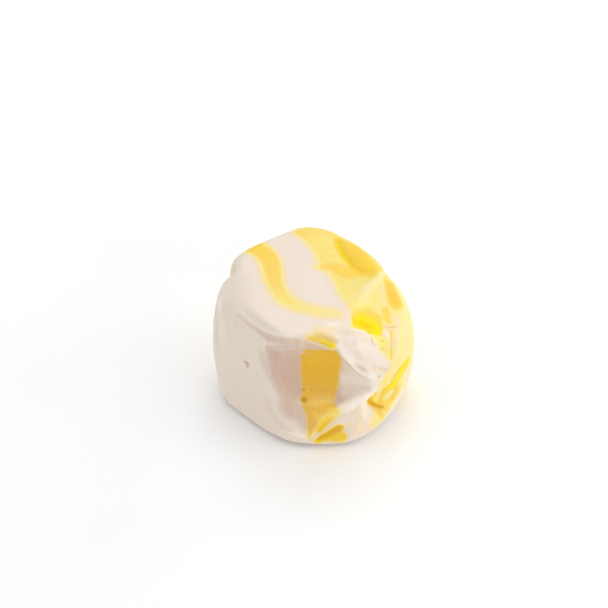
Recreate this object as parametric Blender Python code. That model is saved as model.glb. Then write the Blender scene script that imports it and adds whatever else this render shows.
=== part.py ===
"""A piece of salt water taffy, unwrapped.

A short log of pulled candy stands on its flat lower end, and its upper end shows the cut face. The
twisted ends of its wrapper pinched it on two opposite sides, which left folds there. The frame has +Z up,
the origin in the middle of the lower end and -Y at the front. The sizes below are in millimetres, and MM
turns them into metres.
"""

from typing import NamedTuple

import bmesh
import bpy
import numpy as np

MM = 0.001

HEIGHT = 16.2
CENTRE = np.array([0.0, 0.0, 8.0])
CELLS = 31
# The bounding box's middle before the log is moved onto the origin.
OFFSET = np.array([0.17, 0.1, 0.0])

# Plan radius of the log at each 30 degrees of azimuth from -180, with -90 at the front.
BASE_RADIUS = (10.5, 10.9, 10.2, 10.8, 11.1, 10.6, 10.6, 10.4, 10.3, 10.3, 10.3, 10.5)
BELLY_RADIUS = (11.6, 11.4, 10.9, 10.9, 11.3, 11.8, 11.9, 11.4, 11.2, 11.0, 11.0, 11.2)
TOP_RADIUS = (10.1, 10.2, 9.9, 9.3, 9.2, 9.4, 9.3, 8.4, 8.9, 10.5, 9.9, 10.5)
RIM_ROUND = (4.0, 1.2, 0.4, 0.5, 1.0, 2.0, 2.0, 1.0, 0.8, 0.8, 1.0, 1.4)
BASE_ROUND = 1.6


class Flat(NamedTuple):
    """A flattened side: the azimuth it faces, its lean back, both in degrees, and its distance out."""

    azimuth: float
    lean: float
    distance: float
    blend: float = 0.6


class Dish(NamedTuple):
    """A hollow pressed in by an ellipsoid, which faces along out and lies along its long axis."""

    middle: tuple
    long: tuple
    out: tuple
    radii: tuple
    blend: float = 0.5


class Fold(NamedTuple):
    """A ridge, or a crease if its height is negative, along a curve, with a width for each of its sides.

    The left side is the one on the left of a walk along the curve. A sharpness of 1 makes an edge and 2 a
    round back.
    """

    path: tuple
    height: float
    left: float
    right: float
    sharpness: float = 1.3
    fade: tuple = (0.3, 0.3)


FLATS = (
    Flat(azimuth=-134, lean=6, distance=9.95),
    Flat(azimuth=-162, lean=7.3, distance=12.23),
    Flat(azimuth=-92, lean=8, distance=10.65),
    Flat(azimuth=-62, lean=48, distance=17.1),
    Flat(azimuth=125, lean=0, distance=9.9),
)

DISHES = {
    "front": Dish((-0.9, -12.8, 11.2), (0.96, -0.1, -0.24), (-0.08, -0.94, -0.34), (12.2, 5.3, 4.7), 0.3),
    "front corner": Dish((-4.3, -11.0, 12.2), (0.95, -0.3, 0.1), (-0.3, -0.93, -0.2), (4.6, 2.3, 3.0), 0.3),
    "pocket": Dish((10.4, -3.4, 17.2), (0.6, 0.76, 0.22), (0.57, -0.43, 0.7), (8.0, 3.3, 4.8), 1.2),
    "back": Dish((-6.2, 10.9, 9.6), (0.8, 0.56, 0.22), (-0.56, 0.8, -0.15), (8.2, 4.2, 4.4), 0.5),
    "back pinch": Dish((-10.6, 7.2, 7.0), (0.5, 0.87, 0.0), (-0.87, 0.5, 0.05), (3.2, 3.2, 2.8), 1.2),
    "pinch": Dish((8.6, -10.0, 5.6), (0.76, 0.62, 0.0), (0.62, -0.76, 0.2), (2.6, 2.6, 2.6), 1.2),
    "leaf": Dish((2.9, -12.1, 2.0), (0.85, 0, 0.5), (0.2, -1.0, -0.3), (3.8, 1.7, 2.2), 0.5),
}

FOLDS = {
    "lip": Fold(((2.4, -8.8, 14.2), (3.4, -9.0, 13.4), (4.3, -9.0, 12.2), (5.3, -8.9, 10.8),
                 (6.4, -9.0, 10.0), (7.1, -8.8, 9.3)), 0.3, 0.5, 0.45, 1.3, (0.3, 0.2)),
    "lip groove": Fold(((-1.0, -8.5, 15.6), (0.1, -8.6, 15.2), (1.2, -8.7, 14.8), (2.5, -8.8, 14.4)),
                       -0.32, 0.45, 0.45, 1.6, (0.35, 0.3)),
    "lip ridge": Fold(((-1.4, -8.5, 15.8), (0.3, -8.5, 15.7), (1.9, -8.4, 15.4), (3.2, -7.9, 15.3)),
                      0.2, 0.45, 0.5, 1.6),
    "rib": Fold(((2.6, -7.6, 15.8), (4.0, -7.2, 15.5), (5.4, -6.3, 14.4), (6.2, -6.4, 13.7),
                 (6.7, -7.5, 13.4)), 0.5, 0.5, 0.5, 1.6, (0.35, 0.2)),
    "pocket hollow": Fold(((4.3, -6.1, 15.8), (5.1, -5.7, 15.2), (6.2, -4.6, 13.7), (7.5, -4.8, 13.1)),
                          -0.4, 0.45, 1.1, 1.8, (0.15, 0.3)),
    "shell edge": Fold(((4.6, -7.6, 14.9), (4.2, -8.4, 14.5), (4.1, -8.8, 13.9), (4.6, -9.0, 12.7),
                        (5.5, -9.0, 11.6), (6.9, -8.7, 10.3)), 0.15, 0.45, 0.6, 1.4, (0.2, 0.3)),
    "shell hollow": Fold(((4.7, -8.0, 14.6), (4.6, -8.6, 14.0), (5.0, -8.9, 13.0), (6.2, -8.8, 11.7)),
                         -0.12, 0.45, 0.45, 1.8),
    "shell groove": Fold(((6.9, -8.5, 11.2), (7.7, -8.1, 10.4), (8.6, -7.5, 9.5)),
                         -0.25, 0.45, 0.45, 1.6, (0.4, 0.3)),
    "back valley": Fold(((2.7, 8.3, 16.0), (3.1, 6.6, 16.1), (3.8, 4.7, 16.1), (4.6, 3.1, 16.1),
                         (5.5, 2.3, 16.1), (6.4, 1.9, 16.1)), -0.35, 0.45, 0.6, 1.4, (0.1, 0.4)),
    "back crest": Fold(((8.3, 2.0, 15.7), (7.4, 0.4, 15.9), (6.1, -1.1, 16.1), (4.7, -2.6, 16.1)),
                       0.4, 0.5, 1, 1.4, (0.15, 0.5)),
    "pocket crest": Fold(((7.8, -4.4, 13.1), (8.5, -5.9, 13.1), (8.5, -6.9, 12.2), (8.7, -7.1, 10.8)),
                         0.15, 0.45, 0.45, 1.3, (0.4, 0.4)),
    "flank crease": Fold(((8.9, -2.6, 13.1), (8.8, -5.3, 13.0), (8.9, -6.5, 12.1), (8.8, -7.1, 10.6)),
                         -0.2, 0.45, 0.45, 1.2, (0.4, 0.3)),
    "flank ridge": Fold(((9.4, -2.3, 13.1), (9.4, -4.9, 12.9), (9.4, -6.2, 11.5), (9.1, -6.9, 10.1)),
                        0.18, 0.45, 0.45, 1.5, (0.4, 0.4)),
    "long ridge": Fold(((11.0, -4.4, 8.7), (9.7, -6.4, 9.1), (8.6, -7.8, 8.4), (7.4, -7.7, 5.9)),
                       0.25, 0.45, 1, 1.4, (0.3, 0.2)),
    "long crease": Fold(((11.1, -4.2, 8.2), (10.0, -6.2, 8.7), (8.8, -7.6, 8.0), (7.7, -7.5, 5.5)),
                        -0.3, 0.45, 0.45, 1.2, (0.2, 0.3)),
    "under bump": Fold(((9.1, -7.2, 6.8), (8.4, -7.3, 6.0), (7.8, -7.5, 5.2)),
                       0.2, 0.6, 0.5, 2.0, (0.4, 0.4)),
    "under dent": Fold(((10.0, -6.2, 5.2), (9.4, -6.9, 4.7), (8.7, -7.4, 4.2)),
                       -0.15, 0.45, 0.45, 2.0, (0.4, 0.4)),
    "pinch groove": Fold(((6.4, -9.0, 7.0), (6.5, -8.5, 5.5), (7.3, -8.0, 4.4), (8.9, -7.3, 3.2)),
                         -0.5, 0.45, 0.45, 1.2, (0.35, 0.3)),
    "pinch fold": Fold(((9.0, -7.2, 3.2), (8.6, -7.5, 2.9), (8.3, -7.8, 2.6)),
                       -0.3, 0.45, 0.45, 1.3, (0.2, 0.4)),
    "flap edge": Fold(((7.2, -8.8, 8.8), (6.3, -9.3, 8.1), (4.9, -9.5, 7.2), (3.9, -9.8, 6.6),
                       (2.7, -10.0, 6.2)), 0.3, 1.2, 0.45, 1.4, (0.2, 0.4)),
    "thin ridge": Fold(((2.9, -9.9, 6.4), (1.5, -10.1, 5.3), (0.5, -10.3, 3.7), (-0.4, -10.5, 1.7)),
                       0.35, 0.45, 0.45, 1.4, (0.4, 0.1)),
    "ridge groove": Fold(((3.0, -10.1, 5.2), (1.8, -10.2, 4.2), (0.9, -10.4, 3.0), (0.1, -10.5, 1.7)),
                         -0.25, 0.45, 0.45, 1.5, (0.4, 0.2)),
    "leaf ridge": Fold(((4.3, -10.3, 4.2), (2.9, -10.3, 4.0), (1.7, -10.3, 3.0), (0.6, -10.4, 2.1),
                        (-0.2, -10.5, 1.2)), 0.35, 0.45, 0.45, 1.2, (0.5, 0.1)),
    "flap valley": Fold(((4.9, -9.5, 7.2), (5.0, -10.0, 5.8), (5.5, -10.0, 4.1), (6.4, -9.4, 1.8)),
                        -0.3, 0.45, 0.45, 1.8),
    "dish floor ridge": Fold(((-3.0, -9.6, 6.8), (-0.8, -9.7, 6.8), (1.4, -9.6, 6.8), (3.7, -9.5, 6.9)),
                             0.25, 0.8, 0.5, 2.0),
    "foot bulge": Fold(((-3.9, -9.6, 2.9), (-2.6, -10.2, 2.5), (-1.4, -10.4, 1.9), (-0.4, -10.5, 1.4)),
                       0.2, 0.45, 0.5, 2.0, (0.4, 0.2)),
    "left edge": Fold(((-10.6, 0.5, 13.7), (-10.3, -1.6, 13.5), (-10.2, -2.3, 11.7), (-10.2, -2.7, 9.0),
                       (-10.2, -3.3, 5.3)), 0.5, 0.45, 1.2, 1.2, (0.15, 0.5)),
    "corner ridge": Fold(((-6.4, -6.1, 11.1), (-5.8, -6.9, 9.4), (-4.8, -8.1, 7.9), (-3.5, -9.5, 6.5)),
                         0.1, 1, 1.5, 1.8, (0.3, 0.5)),
    "left valley": Fold(((-9.0, 2.6, 16.2), (-9.9, 3.2, 15.5), (-10.7, 4.2, 13.0), (-10.4, 5.5, 10.0)),
                        -0.7, 0.8, 1.2),
    "right notch": Fold(((8.0, 2.2, 16.2), (9.0, 3.0, 15.2), (10.2, 4.0, 12.5)), -0.6, 0.8, 0.8),
    "back lip": Fold(((-10.0, 5.2, 8.6), (-8.2, 7.4, 10.2), (-5.8, 9.0, 12.2), (-2.6, 9.8, 13.4),
                      (0.4, 9.9, 13.6)), 0.5, 0.5, 0.9, 1.4, (0.2, 0.5)),
    "back crease high": Fold(((-10.2, 5.0, 8.0), (-8.9, 6.6, 9.2), (-6.9, 8.2, 10.9), (-4.2, 9.4, 12.0)),
                             -0.45, 0.5, 0.45, 1.4, (0.2, 0.5)),
    "back fold": Fold(((-10.0, 5.4, 6.4), (-7.9, 7.4, 6.0), (-5.0, 8.9, 4.8), (-1.6, 9.9, 4.4)),
                      0.45, 0.7, 0.5, 1.5, (0.2, 0.5)),
    "back crease low": Fold(((-9.9, 5.6, 5.6), (-8.1, 7.2, 4.6), (-5.6, 8.4, 2.9), (-3.2, 9.2, 1.6)),
                            -0.4, 0.5, 0.6, 1.4, (0.2, 0.4)),
    "back side crease": Fold(((-10.8, 4.2, 6.8), (-11.2, 2.2, 6.0), (-11.0, 0.2, 4.2),
                              (-10.6, -1.0, 2.4)), -0.35, 0.5, 0.7, 1.4, (0.2, 0.5)),
    "back side fold": Fold(((-10.8, 4.4, 7.8), (-11.4, 2.6, 8.4), (-11.5, 0.6, 8.2)),
                           0.4, 0.7, 0.6, 1.5, (0.3, 0.5)),
    "right crease": Fold(((11.5, 1.6, 12.8), (11.6, 2.6, 9.0), (11.2, 3.2, 4.6), (10.6, 3.4, 1.6)),
                         -0.3, 0.45, 0.9, 1.4, (0.3, 0.4)),
    "right swell": Fold(((9.6, 6.4, 13.0), (9.7, 6.6, 8.6), (9.2, 6.8, 4.0)),
                        0.3, 1.2, 0.9, 1.8, (0.4, 0.4)),
}


def unit(vector):
    return np.asarray(vector, float) / np.linalg.norm(vector)


def smooth_max(a, b, blend):
    """The larger of two distances, rounded over where they differ by less than blend."""
    share = np.clip(0.5 + 0.5 * (a - b) / blend, 0.0, 1.0)
    return b + (a - b) * share + blend * share * (1.0 - share)


def spline(before, start, end, after, t):
    """A point on the smooth curve that passes from start to end as t goes from 0 to 1."""
    bend = 2 * before - 5 * start + 4 * end - after + t * (3 * (start - end) + after - before)
    return start + 0.5 * t * (end - before + t * bend)


def around(azimuth, values):
    """A smooth closed curve through values, which stand at equal steps of azimuth from -pi."""
    values = np.asarray(values, float)
    place = (azimuth + np.pi) / (2.0 * np.pi) * len(values)
    index = np.floor(place).astype(int)
    return spline(*(values[(index + step) % len(values)] for step in (-1, 0, 1, 2)), place - index)


def log_field(points):
    """Negative inside the barrel-shaped log, positive outside, about a distance near its surface."""
    x, y, z = points.T
    azimuth = np.arctan2(y, x)
    level = np.clip(z / HEIGHT, -0.2, 1.2)
    base, belly, top = (around(azimuth, r) for r in (BASE_RADIUS, BELLY_RADIUS, TOP_RADIUS))
    bulge = 2.0 * belly - 0.5 * (base + top)
    side = np.hypot(x, y) - (1 - level) ** 2 * base - 2 * level * (1 - level) * bulge - level**2 * top
    for flat in FLATS:
        turn, lean = np.radians(flat.azimuth), np.radians(flat.lean)
        normal = np.array([np.cos(turn) * np.cos(lean), np.sin(turn) * np.cos(lean), np.sin(lean)])
        side = smooth_max(side, points @ normal - flat.distance, flat.blend)
    lid = z - HEIGHT + 0.2 * (x * x + y * y) / 100.0
    return smooth_max(smooth_max(side, lid, around(azimuth, RIM_ROUND)), -z, BASE_ROUND)


def dish_field(points, dish):
    """Negative inside a dish's ellipsoid, positive outside, about a distance near its surface."""
    out = unit(dish.out)
    across = unit(np.cross(out, dish.long))
    local = (points - dish.middle) @ np.array([np.cross(across, out), across, out]).T / dish.radii
    reach = np.linalg.norm(local, axis=1)
    slope = np.linalg.norm(local / dish.radii, axis=1)
    return reach * (reach - 1.0) / np.maximum(slope, 1e-6)


def field(points):
    value = log_field(points)
    for dish in DISHES.values():
        value = smooth_max(value, -dish_field(points, dish), dish.blend)
    return value


def unit_directions(cells):
    """Directions from the log's centre, and the quads between them: a cube's grid, wrapped round a drum.

    The cube's upper and lower faces go to the drum's ends, so the mesh follows the log's rims.
    """
    grid = bmesh.new()
    bmesh.ops.create_cube(grid, size=2.0)
    bmesh.ops.subdivide_edges(grid, edges=grid.edges[:], cuts=cells - 1, use_grid_fill=True)
    x, y, z = np.array([v.co for v in grid.verts]).T
    quads = [[v.index for v in face.verts] for face in grid.faces]
    grid.free()
    ring = np.maximum(np.abs(x), np.abs(y))
    eighth = np.minimum(np.abs(x), np.abs(y)) / np.maximum(ring, 1e-9) * np.pi / 4.0
    azimuth = np.where(np.abs(x) > np.abs(y), eighth, np.pi / 2.0 - eighth)
    azimuth = np.where(x < 0.0, np.pi - azimuth, azimuth) * np.where(y < 0.0, -1.0, 1.0)
    level = 0.5 * (z + 1.0)
    radius = ring * ((1.0 - level) * around(azimuth, BASE_RADIUS) + level * around(azimuth, TOP_RADIUS))
    drum = np.stack([radius * np.cos(azimuth), radius * np.sin(azimuth), level * HEIGHT], axis=1) - CENTRE
    return drum / np.linalg.norm(drum, axis=1)[:, None], quads


def surface(directions):
    """The point where each ray from the log's centre leaves the field."""
    low = np.full(len(directions), 2.0)
    high = np.full(len(directions), 20.0)
    for _ in range(26):
        middle = 0.5 * (low + high)
        outside = field(CENTRE + middle[:, None] * directions) > 0.0
        high = np.where(outside, middle, high)
        low = np.where(outside, low, middle)
    return CENTRE + (0.5 * (low + high))[:, None] * directions


def field_normals(points):
    step = 0.02
    slopes = [field(points + step * axis) - field(points - step * axis) for axis in np.eye(3)]
    normals = np.array(slopes).T
    return normals / np.linalg.norm(normals, axis=1)[:, None]


def on_surface(points):
    """The points moved to the surface, each along the ray from the log's centre."""
    rays = np.asarray(points) - CENTRE
    return surface(rays / np.linalg.norm(rays, axis=1)[:, None])


def laid_path(path, pieces=6):
    """A smooth curve through the path's points, laid on the surface."""
    marks = np.array(path)
    marks = np.vstack([2 * marks[0] - marks[1], marks, 2 * marks[-1] - marks[-2]])
    steps = np.arange(pieces) / pieces
    curve = [spline(*marks[i:i + 4], t) for i in range(len(marks) - 3) for t in steps]
    return on_surface(np.vstack([curve, marks[-2]]))


def nearest_on(path, points):
    """Each point's distance from the path, its place along it from 0 to 1, and if it is left of the path."""
    nearest = np.full(len(points), np.inf)
    place = np.zeros(len(points))
    left = np.zeros(len(points), bool)
    for index, (start, end) in enumerate(zip(path[:-1], path[1:])):
        run = end - start
        t = np.clip((points - start) @ run / (run @ run), 0.0, 1.0)
        away = points - start - t[:, None] * run
        distance = np.linalg.norm(away, axis=1)
        closer = distance < nearest
        nearest = np.where(closer, distance, nearest)
        place = np.where(closer, (index + t) / (len(path) - 1), place)
        left = np.where(closer, away @ np.cross(start - CENTRE, run) > 0.0, left)
    return nearest, place, left


def fold_height(points, fold):
    """How far the fold lifts each point."""
    distance, place, left = nearest_on(laid_path(fold.path), points)
    width = np.where(left, fold.left, fold.right)
    strength = np.clip(place / fold.fade[0], 0.0, 1.0) * np.clip((1.0 - place) / fold.fade[1], 0.0, 1.0)
    strength = strength * strength * (3.0 - 2.0 * strength)
    return fold.height * strength * np.exp(-((distance / width) ** fold.sharpness))


def taffy_points(cells):
    directions, quads = unit_directions(cells)
    points = surface(directions)
    lift = sum(fold_height(points, fold) for fold in FOLDS.values())
    points = points + lift[:, None] * field_normals(points)
    points[:, 2] = np.maximum(points[:, 2], 0.0)
    return points - OFFSET, quads


def candy_material():
    candy = bpy.data.materials.new("taffy")
    candy.use_nodes = True
    shader = candy.node_tree.nodes["Principled BSDF"]
    shader.inputs["Base Color"].default_value = (0.86, 0.74, 0.55, 1.0)
    shader.inputs["Roughness"].default_value = 0.5
    return candy


def main():
    for old in list(bpy.data.objects):
        bpy.data.objects.remove(old)
    points, quads = taffy_points(CELLS)
    mesh = bpy.data.meshes.new("taffy")
    mesh.from_pydata((points * MM).tolist(), [], quads)
    mesh.shade_smooth()
    mesh.materials.append(candy_material())
    taffy = bpy.data.objects.new("taffy", mesh)
    bpy.context.scene.collection.objects.link(taffy)


if __name__ == "__main__":
    main()
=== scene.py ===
"""Salt water taffy, unwrapped: the look of the solid in the CAD frame, on a pale studio floor.

The candy's skin is made here again, far finer than the solid and from the same sizes, with its hairline
cracks and bubbles, and with streaks of yellow through the cream. Sizes and places are in millimetres, and MM
makes them metres. The frame has +Z up, the origin in the middle of the lower end and -Y at the front.
"""

from typing import NamedTuple

import bmesh
import bpy
import numpy as np
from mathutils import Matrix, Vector, noise

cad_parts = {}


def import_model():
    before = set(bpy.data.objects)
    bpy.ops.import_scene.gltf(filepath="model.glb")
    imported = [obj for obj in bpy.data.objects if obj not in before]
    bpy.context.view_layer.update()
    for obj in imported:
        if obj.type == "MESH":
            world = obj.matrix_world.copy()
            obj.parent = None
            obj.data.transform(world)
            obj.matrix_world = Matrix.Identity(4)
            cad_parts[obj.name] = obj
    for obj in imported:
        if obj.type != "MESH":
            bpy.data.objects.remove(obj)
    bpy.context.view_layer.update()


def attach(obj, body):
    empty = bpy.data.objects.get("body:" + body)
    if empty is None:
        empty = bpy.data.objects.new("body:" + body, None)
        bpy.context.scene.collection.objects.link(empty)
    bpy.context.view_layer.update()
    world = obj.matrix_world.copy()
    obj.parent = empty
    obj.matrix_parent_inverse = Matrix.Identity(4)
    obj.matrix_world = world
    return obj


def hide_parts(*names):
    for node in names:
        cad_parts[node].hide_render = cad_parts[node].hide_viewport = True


MM = 0.001
CELLS = 128
# The mesh is finer towards this azimuth in degrees, by this share.
FINE_SIDE = -50.0
FINER = 0.35

HEIGHT = 16.2
CENTRE = np.array([0.0, 0.0, 8.0])
# The bounding box's middle before the log is moved onto the origin.
OFFSET = np.array([0.17, 0.1, 0.0])

# Plan radius of the log at each 30 degrees of azimuth from -180, with -90 at the front.
BASE_RADIUS = (10.5, 10.9, 10.2, 10.8, 11.1, 10.6, 10.6, 10.4, 10.3, 10.3, 10.3, 10.5)
BELLY_RADIUS = (11.6, 11.4, 10.9, 10.9, 11.3, 11.8, 11.9, 11.4, 11.2, 11.0, 11.0, 11.2)
TOP_RADIUS = (10.1, 10.2, 9.9, 9.3, 9.2, 9.4, 9.3, 8.4, 8.9, 10.5, 9.9, 10.5)
RIM_ROUND = (4.0, 1.2, 0.4, 0.5, 1.0, 2.0, 2.0, 1.0, 0.8, 0.8, 1.0, 1.4)
BASE_ROUND = 1.6


class Flat(NamedTuple):
    """A flattened side: the azimuth it faces, its lean back, both in degrees, and its distance out."""

    azimuth: float
    lean: float
    distance: float
    blend: float = 0.6


class Dish(NamedTuple):
    """A hollow pressed in by an ellipsoid, which faces along out and lies along its long axis."""

    middle: tuple
    long: tuple
    out: tuple
    radii: tuple
    blend: float = 0.5


class Fold(NamedTuple):
    """A ridge, or a crease if its height is negative, along a curve, with a width for each of its sides.

    The left side is the one on the left of a walk along the curve. A sharpness of 1 makes an edge and 2 a
    round back.
    """

    path: tuple
    height: float
    left: float
    right: float
    sharpness: float = 1.3
    fade: tuple = (0.3, 0.3)


FLATS = (
    Flat(azimuth=-134, lean=6, distance=9.95),
    Flat(azimuth=-162, lean=7.3, distance=12.23),
    Flat(azimuth=-92, lean=8, distance=10.65),
    Flat(azimuth=-62, lean=48, distance=17.1),
    Flat(azimuth=125, lean=0, distance=9.9),
)

DISHES = {
    "front": Dish((-0.9, -12.8, 11.2), (0.96, -0.1, -0.24), (-0.08, -0.94, -0.34), (12.2, 5.3, 4.7), 0.3),
    "front corner": Dish((-4.3, -11.0, 12.2), (0.95, -0.3, 0.1), (-0.3, -0.93, -0.2), (4.6, 2.3, 3.0), 0.3),
    "pocket": Dish((10.4, -3.4, 17.2), (0.6, 0.76, 0.22), (0.57, -0.43, 0.7), (8.0, 3.3, 4.8), 1.2),
    "back": Dish((-6.2, 10.9, 9.6), (0.8, 0.56, 0.22), (-0.56, 0.8, -0.15), (8.2, 4.2, 4.4), 0.5),
    "back pinch": Dish((-10.6, 7.2, 7.0), (0.5, 0.87, 0.0), (-0.87, 0.5, 0.05), (3.2, 3.2, 2.8), 1.2),
    "pinch": Dish((8.6, -10.0, 5.6), (0.76, 0.62, 0.0), (0.62, -0.76, 0.2), (2.6, 2.6, 2.6), 1.2),
    "leaf": Dish((2.9, -12.1, 2.0), (0.85, 0, 0.5), (0.2, -1.0, -0.3), (3.8, 1.7, 2.2), 0.5),
}

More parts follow.
